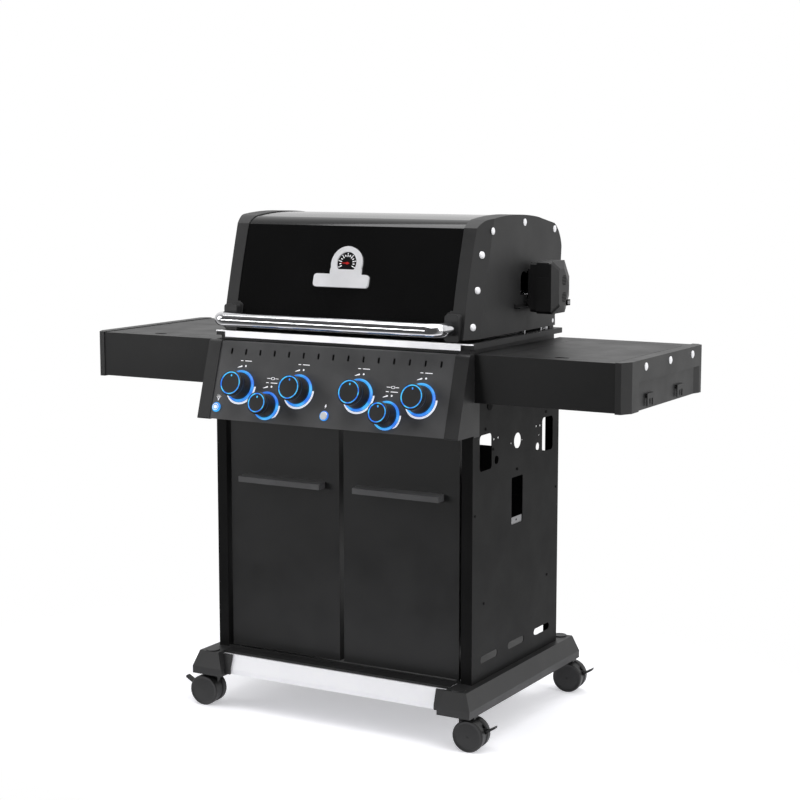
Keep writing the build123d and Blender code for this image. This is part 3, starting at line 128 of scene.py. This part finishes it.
def surface(name, dark, light, rough, grain, depth, metallic=0.0, coat=0.0, coat_rough=0.1,
            stretch=(1, 1, 1), patch=0.08, specular=0.5, lit=0.0):
    """Procedural finish: patchy colour, varied roughness and a fine bumped grain.

    dark and light are the ends of the colour's variation, rough the roughness range, grain the
    size of the bumps in metres and depth their strength.  lit is a faint glow: on the chrome, the
    silver paint and the print it is a painted glow that brightens them, on the floor paper an even glow."""
    made = bpy.data.materials.new(name)
    made.use_nodes = True
    tree = made.node_tree
    shader = tree.nodes["Principled BSDF"]
    shader.inputs["Metallic"].default_value = metallic
    shader.inputs["Specular IOR Level"].default_value = specular
    shader.inputs["Coat Weight"].default_value = coat
    shader.inputs["Coat Roughness"].default_value = coat_rough
    place = place_of(tree, stretch)
    patches = noise(tree, place, patch)
    fine = noise(tree, place, grain, detail=4.0)
    colour = ramp(tree, patches, [(0.3, dark), (0.7, light)])
    tree.links.new(colour, shader.inputs["Base Color"])
    tree.links.new(colour, shader.inputs["Emission Color"])
    shader.inputs["Emission Strength"].default_value = lit
    tree.links.new(spread(tree, patches, rough[0], rough[1]), shader.inputs["Roughness"])
    tree.links.new(bump(tree, fine, depth), shader.inputs["Normal"])
    return made


def grey(value):
    """Slightly cool grey."""
    return (value, value, value * 1.03)


def glow(name, low, high, size):
    """Lit light guide, running between two colours in patches of about size metres."""
    made = bpy.data.materials.new(name)
    made.use_nodes = True
    tree = made.node_tree
    shader = tree.nodes["Principled BSDF"]
    shader.inputs["Roughness"].default_value = 0.25
    place = place_of(tree, (1, 1, 1))
    colour = ramp(tree, noise(tree, place, size, detail=1.0), [(0.38, low), (0.62, high)])
    tree.links.new(colour, shader.inputs["Emission Color"])
    unlit = ramp(tree, noise(tree, place, size), [(0.3, (0.02, 0.05, 0.1)), (0.7, (0.03, 0.06, 0.12))])
    tree.links.new(unlit, shader.inputs["Base Color"])
    shader.inputs["Emission Strength"].default_value = 1.0
    return made


# Each finish: dark and light ends, roughness range, grain in metres, depth of grain, other values.
SURFACES = {
    "powder_black": (grey(0.008), grey(0.012), (0.44, 0.54), 0.0011, 0.10, {"specular": 0.4}),
    # Darker copy of powder_black with weaker specular for the side panels, standing in for shade:
    # painted shade.
    "panel_painted_shade": (grey(0.0045), grey(0.0075), (0.46, 0.56), 0.0011, 0.10, {"specular": 0.13}),
    # Lighter, glossier copy of powder_black for the doors, standing in for light on them: painted light.
    "door_painted_light": (grey(0.011), grey(0.015), (0.40, 0.48), 0.0011, 0.10, {}),
    # Slightly lighter black with weaker specular than powder_black for the shelves, tuned to how light
    # falls on them: painted light and shade.
    "shelf_painted_light_shade": (grey(0.010), grey(0.015), (0.38, 0.48), 0.0011, 0.10, {"specular": 0.32}),
    # Much lighter copy of powder_black for the slanted console, standing in for the light on it: painted
    # light.
    "console_painted_light": (grey(0.075), grey(0.095), (0.40, 0.50), 0.0011, 0.14, {}),
    "enamel_black": (
        grey(0.003), grey(0.005), (0.10, 0.14), 0.006, 0.015,
        {"coat": 0.35, "coat_rough": 0.05, "patch": 0.2, "specular": 0.3},
    ),
    "cast_black": (grey(0.012), grey(0.019), (0.46, 0.58), 0.0009, 0.22, {}),
    "black_resin": (grey(0.014), grey(0.022), (0.40, 0.52), 0.0008, 0.16, {}),
    "knob_plastic": (grey(0.020), grey(0.028), (0.34, 0.42), 0.0007, 0.08, {}),
    "nylon_black": (grey(0.009), grey(0.014), (0.42, 0.55), 0.0009, 0.16, {}),
    "door_handle_grey": (grey(0.10), grey(0.13), (0.34, 0.44), 0.0009, 0.12, {}),
    # lit gives the silver paint a painted glow that brightens it.
    "silver_paint": (
        grey(0.82), grey(0.90), (0.35, 0.45), 0.0008, 0.08,
        {"metallic": 0.1, "lit": 0.14},
    ),
    "polished_steel": (
        grey(0.80), grey(0.88), (0.06, 0.14), 0.0012, 0.03,
        {"metallic": 1.0, "stretch": (0.05, 1, 1)},
    ),
    # lit gives the chrome a painted glow that brightens it.
    "bright_chrome": (
        grey(0.84), grey(0.94), (0.16, 0.24), 0.0008, 0.03,
        {"metallic": 0.35, "lit": 0.22},
    ),
    "stainless": (
        grey(0.42), grey(0.58), (0.24, 0.36), 0.0007, 0.12,
        {"metallic": 1.0, "stretch": (1, 0.05, 1)},
    ),
    "steel_tray": (grey(0.35), grey(0.48), (0.3, 0.42), 0.0008, 0.1, {"metallic": 1.0}),
    "brass": ((0.50, 0.34, 0.13), (0.66, 0.47, 0.2), (0.25, 0.4), 0.0009, 0.1, {"metallic": 1.0}),
    "cast_iron": (grey(0.012), grey(0.024), (0.5, 0.68), 0.0014, 0.4, {}),
    "cast_aluminium": (grey(0.03), grey(0.05), (0.45, 0.6), 0.0012, 0.3, {"metallic": 0.4}),
    "dial_face": (grey(0.003), grey(0.005), (0.3, 0.38), 0.0008, 0.04, {"specular": 0.2}),
    "pointer_red": ((0.6, 0.01, 0.01), (0.75, 0.03, 0.02), (0.25, 0.35), 0.0006, 0.05, {}),
    # lit gives the white print a painted glow that brightens it.
    "printed_white": (grey(0.85), grey(0.92), (0.5, 0.6), 0.0006, 0.04, {"lit": 0.6}),
    # Near-black that stands in for the shade inside holes, vent slots and round the motor switch:
    # painted shade. The side screws and plug take it too.
    "dark_hole": (grey(0.002), grey(0.004), (0.6, 0.7), 0.0009, 0.1, {"specular": 0.1}),
    "grey_tab": (grey(0.30), grey(0.38), (0.4, 0.5), 0.0009, 0.1, {"metallic": 0.3}),
}
MATERIALS = {name: surface(name, *values[:-1], **values[-1]) for name, values in SURFACES.items()}
MATERIALS["lit_ring"] = glow("lit_ring", (0.03, 0.19, 0.80), (0.06, 0.46, 0.95), 0.03)
MATERIALS["lit_face"] = glow("lit_face", (0.02, 0.18, 0.90), (0.08, 0.60, 1.0), 0.012)


# ---- camera, light and floor -------------------------------------------------------------
def camera():
    """Long lens, from the front right and a little above."""
    data = bpy.data.cameras.new("camera")
    data.lens = 81.2
    data.sensor_width = 36.0
    data.clip_end = 100.0
    made = bpy.data.objects.new("camera", data)
    made.location = (2.210, -3.7723, 1.348)
    made.rotation_euler = (math.radians(90 - 7.72), 0.0, math.radians(29.86))
    bpy.context.scene.collection.objects.link(made)
    bpy.context.scene.camera = made


def area_light(name, place, target, size, power):
    """Soft box at a place, turned to a target, with its size in metres and power in watts."""
    data = bpy.data.lights.new(name, "AREA")
    data.shape = "RECTANGLE"
    data.size, data.size_y = size
    data.energy = power
    made = bpy.data.objects.new(name, data)
    made.location = place
    made.rotation_euler = (Vector(target) - Vector(place)).to_track_quat("-Z", "Y").to_euler()
    bpy.context.scene.collection.objects.link(made)


def studio():
    """White room seen by the camera, darker in front of the grill, with soft boxes."""
    world = bpy.data.worlds.new("studio")
    bpy.context.scene.world = world
    world.use_nodes = True
    tree = world.node_tree
    tree.nodes.clear()
    coordinates = node(tree, "ShaderNodeTexCoord")
    parts = node(tree, "ShaderNodeSeparateXYZ")
    tree.links.new(coordinates.outputs["Generated"], parts.inputs["Vector"])
    shade = spread(tree, parts.outputs["Y"], 0.07, 0.8, centre=0.0, reach=0.6)
    lit = node(tree, "ShaderNodeBackground", Color=(1, 1, 1, 1))
    tree.links.new(shade, lit.inputs["Strength"])
    seen = node(tree, "ShaderNodeBackground", Color=(1, 1, 1, 1), Strength=1.0)
    path = node(tree, "ShaderNodeLightPath")
    mix = node(tree, "ShaderNodeMixShader")
    tree.links.new(path.outputs["Is Camera Ray"], mix.inputs["Fac"])
    tree.links.new(lit.outputs["Background"], mix.inputs[1])
    tree.links.new(seen.outputs["Background"], mix.inputs[2])
    output = node(tree, "ShaderNodeOutputWorld")
    tree.links.new(mix.outputs["Shader"], output.inputs["Surface"])
    area_light("overhead", (0.3, -0.2, 3.6), (0, 0, 0.5), (4.0, 4.0), 130.0)
    area_light("left", (-3.8, -1.9, 2.1), (0, 0, 0.7), (1.6, 2.4), 45.0)
    area_light("front", (-2.6, -4.2, 0.85), (0, 0, 0.9), (2.6, 0.5), 27.0)
    area_light("right", (3.6, -0.6, 2.0), (0.3, 0, 0.8), (1.4, 2.4), 32.0)
    bpy.context.scene.view_settings.view_transform = "Standard"


def floor():
    """White paper under the grill that fades out into the white room."""
    mesh = bpy.data.meshes.new("floor")
    reach = 6.0
    corners = [(-reach, -reach, 0), (reach, -reach, 0), (reach, reach, 0), (-reach, reach, 0)]
    mesh.from_pydata(corners, [], [(0, 1, 2, 3)])
    made = bpy.data.objects.new("floor", mesh)
    bpy.context.scene.collection.objects.link(made)
    paper = surface(
        "floor_paper", grey(0.93), grey(0.95), (0.8, 0.9), 0.01, 0.02, specular=0.05, lit=0.42,
    )
    tree = paper.node_tree
    shader = tree.nodes["Principled BSDF"]
    away = node(tree, "ShaderNodeVectorMath", operation="LENGTH")
    tree.links.new(place_of(tree, (0.9, 1.25, 1)), away.inputs[0])
    fade = spread(tree, away.outputs["Value"], 1.0, 0.0, centre=0.84, reach=0.34)
    tree.links.new(fade, shader.inputs["Alpha"])
    mesh.materials.append(paper)


# ---- frame nodes -------------------------------------------------------------------------
# Width of the rounded edges, in millimetres.
BEVELS = {
    "base_apron": 1.2,
    "base_beams": 2.2,
    "shelf_end_caps": 3.0,
    "lid_end_caps": 2.4,
    "lid_badge": 1.2,
    "console_caps": 1.8,
    "rotisserie_motor": 2.2,
    "handle_bosses": 1.8,
    "door_handle_left": 1.2,
    "door_handle_right": 1.2,
    "side_panels": 0.5,
    "console_panel": 0.6,
    "cookbox_trim": 0.8,
}

# Nodes given a lighter, darker or glowing copy of their record slot's finish, standing in for how light
# falls on them: painted light and shade.
FINISHES = {
    "bright_chrome": ["lid_badge", "ignition_button", "shelf_screws", "lid_screws", "cookbox_trim"],
    "panel_painted_shade": ["side_panels"],
    "door_painted_light": ["door_left", "door_right"],
    "console_painted_light": ["console_panel"],
    "shelf_painted_light_shade": ["side_shelf_left", "side_shelf_right", "shelf_lid_left", "shelf_lid_right"],
}


def dress_nodes():
    """Give every CAD node its finish, and the moulded and folded ones rounded edges."""
    chosen = {part["node"]: part["material_slot"] for part in frame["record"]["subparts"]}
    for finish_name, names in FINISHES.items():
        chosen.update({name: finish_name for name in names})
    for name, thing in NODES.items():
        finish = MATERIALS[chosen[name]]
        if not thing.material_slots:
            thing.data.materials.append(finish)
        for material_slot in thing.material_slots:
            material_slot.material = finish
        if name in BEVELS:
            bevel = thing.modifiers.new("edge", "BEVEL")
            bevel.width = BEVELS[name] * MM
            bevel.segments = 2
            bevel.limit_method = "ANGLE"
            bevel.angle_limit = math.radians(35)
            bevel.harden_normals = False


# ---- added pieces ------------------------------------------------------------------------
def plane(origin, along, up):
    """Matrix of a face whose own axes are in millimetres: along, up and outward."""
    x = Vector(along).normalized()
    y = Vector(up).normalized()
    z = x.cross(y)
    turn = Matrix((x, y, z)).transposed().to_4x4()
    place = Vector((origin[0], origin[1] + CENTRING, origin[2])) * MM
    return Matrix.Translation(place) @ turn @ Matrix.Scale(MM, 4)


def console(x, down):
    """Face on the slanted console, at a distance down it."""
    up = Vector((0, math.sin(CONSOLE_LEAN), math.cos(CONSOLE_LEAN)))
    origin = Vector((x, CONSOLE_Y, CONSOLE_TOP)) - up * down
    return plane(origin, (1, 0, 0), up)


def side(y, z, x=PANEL_X, end=1):
    """Face on the right side of the cart, or on the left with end -1."""
    return plane((x * end, y, z), (0, end, 0), (0, 0, 1))


def prism(mesh, place, outline, low, high):
    """Closed prism over an outline."""
    count = len(outline)
    made = [mesh.verts.new(place @ Vector((x, y, z))) for z in (low, high) for x, y in outline]
    mesh.faces.new(made[:count][::-1])
    mesh.faces.new(made[count:])
    for i in range(count):
        j = (i + 1) % count
        mesh.faces.new((made[i], made[j], made[count + j], made[count + i]))


def on_circle(radius, angle):
    return (radius * math.cos(angle), radius * math.sin(angle))


def disc(mesh, place, x, y, radius, low, high, tall=1.0, steps=24):
    """Closed disc, or an upright oval with tall over 1."""
    edge = [on_circle(radius, 2 * math.pi * i / steps) for i in range(steps)]
    prism(mesh, place, [(x + across, y + tall * up) for across, up in edge], low, high)


def dash(mesh, place, start, end, width, low, high, start_width=None):
    """Stroke with round ends, tapering from start_width to width."""
    first = (start_width or width) / 2
    last = width / 2
    angle = math.atan2(end[1] - start[1], end[0] - start[0])
    outline = []
    for centre, radius, turn in ((end, last, -90), (start, first, 90)):
        for i in range(7):
            across, up = on_circle(radius, angle + math.radians(turn + 30 * i))
            outline.append((centre[0] + across, centre[1] + up))
    prism(mesh, place, outline, low, high)


def band(mesh, place, inner, outer, low, high, start=0.0, turn=360.0, steps=72, taper=0.0):
    """Closed ring, or an arc of one whose start thins over the share taper of its length."""
    whole = turn >= 360
    rows = []
    for i in range(steps if whole else steps + 1):
        share = i / steps
        angle = math.radians(start + turn * share)
        thin = min(1.0, 0.12 + share / taper) if taper else 1.0
        far = inner + (outer - inner) * thin
        corners = ((inner, low), (far, low), (far, high), (inner, high))
        rows.append([mesh.verts.new(place @ Vector((*on_circle(r, angle), z))) for r, z in corners])
    for i in range(steps):
        one, two = rows[i], rows[(i + 1) % len(rows)]
        for k in range(4):
            mesh.faces.new((one[k], one[(k + 1) % 4], two[(k + 1) % 4], two[k]))
    if not whole:
        mesh.faces.new(rows[0][::-1])
        mesh.faces.new(rows[-1])


def piece(name, mesh, body, finish):
    """Turn a mesh into a piece that rides on a CAD body and wears the given finish."""
    bmesh.ops.recalc_face_normals(mesh, faces=mesh.faces)
    data = bpy.data.meshes.new(name)
    mesh.to_mesh(data)
    mesh.free()
    made = bpy.data.objects.new(name, data)
    bpy.context.scene.collection.objects.link(made)
    data.materials.append(MATERIALS[finish])
    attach(made, body)
    return made


def knob_lights():
    """Thin lit ring and marker dot on each knob's face."""
    for name, (x, large) in KNOBS.items():
        place = console(x, LARGE_DOWN if large else SMALL_DOWN)
        radius = 27.2 if large else 23.0
        mesh = bmesh.new()
        band(mesh, place, radius - 2.6, radius, KNOB_FACE - 1.0, KNOB_FACE + 0.25)
        disc(mesh, place, 0, radius - 9.0, 1.9, KNOB_FACE - 1.2, KNOB_FACE - 0.5, tall=1.4)
        piece(name + "_light", mesh, name, "lit_face")


def knob_marks(mesh, x, large):
    """Arc, pointer and dashes round one knob; a small knob has a plain sign on top."""
    down = LARGE_DOWN if large else SMALL_DOWN
    place = console(x, down)
    if large:
        band(mesh, place, 39.3, 43.8, *PRINT, start=-168, turn=170, taper=0.35)
        rise = 45.0
        words = 62.0
    else:
        band(mesh, place, 34.8, 38.6, *PRINT, start=-54, turn=58, taper=0.3, steps=24)
        rise = 42.0
        words = 55.5
    dash(mesh, place, (-16.0, rise), (-5.0, rise + 3.6), 3.6, *PRINT, start_width=1.0)
    disc(mesh, place, 6.5, rise + 4.6, 2.3, *PRINT)
    dash(mesh, place, (-9.5, words), (-3.5, words), 1.7, *PRINT)
    dash(mesh, place, (3.0, words), (20.5, words), 1.7, *PRINT)
    if not large:
        sign = words + 10.5
        dash(mesh, place, (-9.0, sign), (-0.5, sign), 1.4, *PRINT)
        dash(mesh, place, (14.5, sign), (22.0, sign), 1.4, *PRINT)
        oval = console(x + 7.0, down - sign) @ Matrix.Diagonal((1.0, 0.55, 1.0, 1.0))
        band(mesh, oval, 4.2, 5.8, *PRINT, steps=28)


def lamp_mark(mesh):
    """Small lamp with rays above the light button."""
    place = console(LIGHT_BUTTON_X + 2.0, BUTTON_DOWN - 24.0)
    band(mesh, place, 2.3, 3.6, *PRINT, steps=24)
    dash(mesh, place, (0, -6.5), (0, -5.0), 2.6, *PRINT)
    for turn in (20, 55, 90, 125, 160):
        angle = math.radians(turn)
        dash(mesh, place, on_circle(5.0, angle), on_circle(6.8, angle), 0.8, *PRINT)


def spark_mark(mesh):
    """Small spark above the ignition button."""
    outline = [(-1.0, 5.0), (2.2, 5.0), (0.4, 1.2), (2.6, 1.2), (-2.0, -5.0), (-0.4, -0.6), (-2.6, -0.6)]
    prism(mesh, console(0.0, BUTTON_DOWN - 22.0), outline, *PRINT)


def console_print():
    """White arcs and plain marks printed on the console."""
    mesh = bmesh.new()
    for x, large in KNOBS.values():
        knob_marks(mesh, x, large)
    lamp_mark(mesh)
    spark_mark(mesh)
    piece("console_print", mesh, "cart", "printed_white")


def button_light():
    """Bright middle and ring of the light button."""
    place = console(LIGHT_BUTTON_X, BUTTON_DOWN)
    mesh = bmesh.new()
    disc(mesh, place, 0, 0, 4.6, 4.0, 5.5, steps=32)
    band(mesh, place, 7.0, 8.2, 3.8, 5.1, steps=40)
    # Its white print glows faintly: painted light.
    piece("light_button_white", mesh, "light", "printed_white")


def dial_place():
    """Face of the dial, at the height of its own front and centred on the needle's spindle."""
    dial = NODES["thermometer_dial"].data
    front = max(dial.polygons, key=lambda face: face.area if face.normal.y < -0.3 else 0.0)
    needle = NODES["thermometer_needle"].data
    middle = sum((vertex.co for vertex in needle.vertices), Vector()) / len(needle.vertices)
    across = Vector((1, 0, 0))
    outward = front.normal.normalized()
    up = outward.cross(across).normalized()
    centre = Vector((0, middle.y, middle.z)) + outward * (front.center - middle).dot(outward)
    turn = Matrix((across, up, outward)).transposed().to_4x4()
    return Matrix.Translation(centre) @ turn @ Matrix.Scale(MM, 4)


def dial_print():
    """Scale ticks on the thermometer's face, with a dot outside every other one."""
    place = dial_place()
    print_range = (1.0, 1.45)
    mesh = bmesh.new()
    for i in range(13):
        angle = math.radians(205 - i * 230 / 12)
        near = 16.5 if i % 2 else 15.5
        dash(mesh, place, on_circle(near, angle), on_circle(20.0, angle), 1.7, *print_range)
        if i % 2 == 0:
            disc(mesh, place, *on_circle(23.0, angle), 1.2, *print_range, steps=12)
    piece("dial_print", mesh, "lid", "printed_white")


# Middle along Y and Z, and radius, of the screws and plugs on a side panel.
SIDE_SCREWS = [
    (-165.8, 729.0, 3.6),
    (155.9, 729.6, 3.6),
    (-2.6, 612.6, 3.4),
    (-127.0, 677.0, 3.2),
    (0.0, 612.0, 3.0),
    (-216.0, 535.0, 3.0),
    (216.0, 535.0, 3.0),
    (-170.0, 322.0, 3.2),
    (170.0, 322.0, 3.2),
]


def side_details():
    """Screws, a plug and a bright tab behind the middle window, on both side panels."""
    screws = bmesh.new()
    tabs = bmesh.new()
    holes = bmesh.new()
    for end in (1, -1):
        for y, z, radius in SIDE_SCREWS:
            disc(screws, side(y, z, end=end), 0, 0, radius, -0.5, 1.1, steps=20)
        disc(screws, side(-146.0, 782.0, end=end), 0, 0, 12.0, -0.5, 1.3, steps=32)
        place = side(0.0, 489.5, x=PANEL_X - SHEET, end=end)
        prism(tabs, place, [(-28.5, -8.5), (28.0, -8.5), (28.0, 8.5), (-28.5, 8.5)], -1.2, 0.0)
        disc(holes, place, -1.0, 0.5, 2.6, -0.4, 0.3, steps=20)
    piece("side_screws", screws, "cart", "dark_hole")
    piece("side_tabs", tabs, "cart", "grey_tab")
    # The tab's hole is a near-black disc standing in for the shade inside it: painted shade.
    piece("side_tab_holes", holes, "cart", "dark_hole")


def rectangle(mesh, place, half_width, half_height, low, high):
    corners = [(-half_width, -half_height), (half_width, -half_height), (half_width, half_height)]
    prism(mesh, place, [*corners, (-half_width, half_height)], low, high)


def motor_details():
    """Ribbed oval vents and the rocker switch on the rotisserie motor's outer face."""
    # The vents are near-black strokes whose dark stands in for the shade inside the slots: painted
    # shade.
    vents = bmesh.new()
    for rise in (38.0, 78.0):
        place = side(86.0, MOTOR_BOTTOM + rise, x=MOTOR_OUTER)
        for row in range(-3, 4):
            half = 11.0 * math.sqrt(1 - (row / 4.0) ** 2)
            dash(vents, place, (-half, row * 3.4), (half, row * 3.4), 1.9, -0.6, 0.15)
    piece("motor_vents", vents, "lid", "dark_hole")
    place = side(112.0, MOTOR_BOTTOM + 24.0, x=MOTOR_OUTER)
    # The near-black surround stands in for the shade in the gap round the rocker: painted shade.
    surround = bmesh.new()
    rectangle(surround, place, 9.0, 7.0, -3.0, 0.3)
    piece("motor_switch_frame", surround, "lid", "dark_hole")
    rocker = bmesh.new()
    rectangle(rocker, place, 6.0, 4.2, -3.0, 0.9)
    piece("motor_switch", rocker, "lid", "grey_tab")


camera()
studio()
floor()
dress_nodes()
knob_lights()
console_print()
button_light()
dial_print()
side_details()
motor_details()
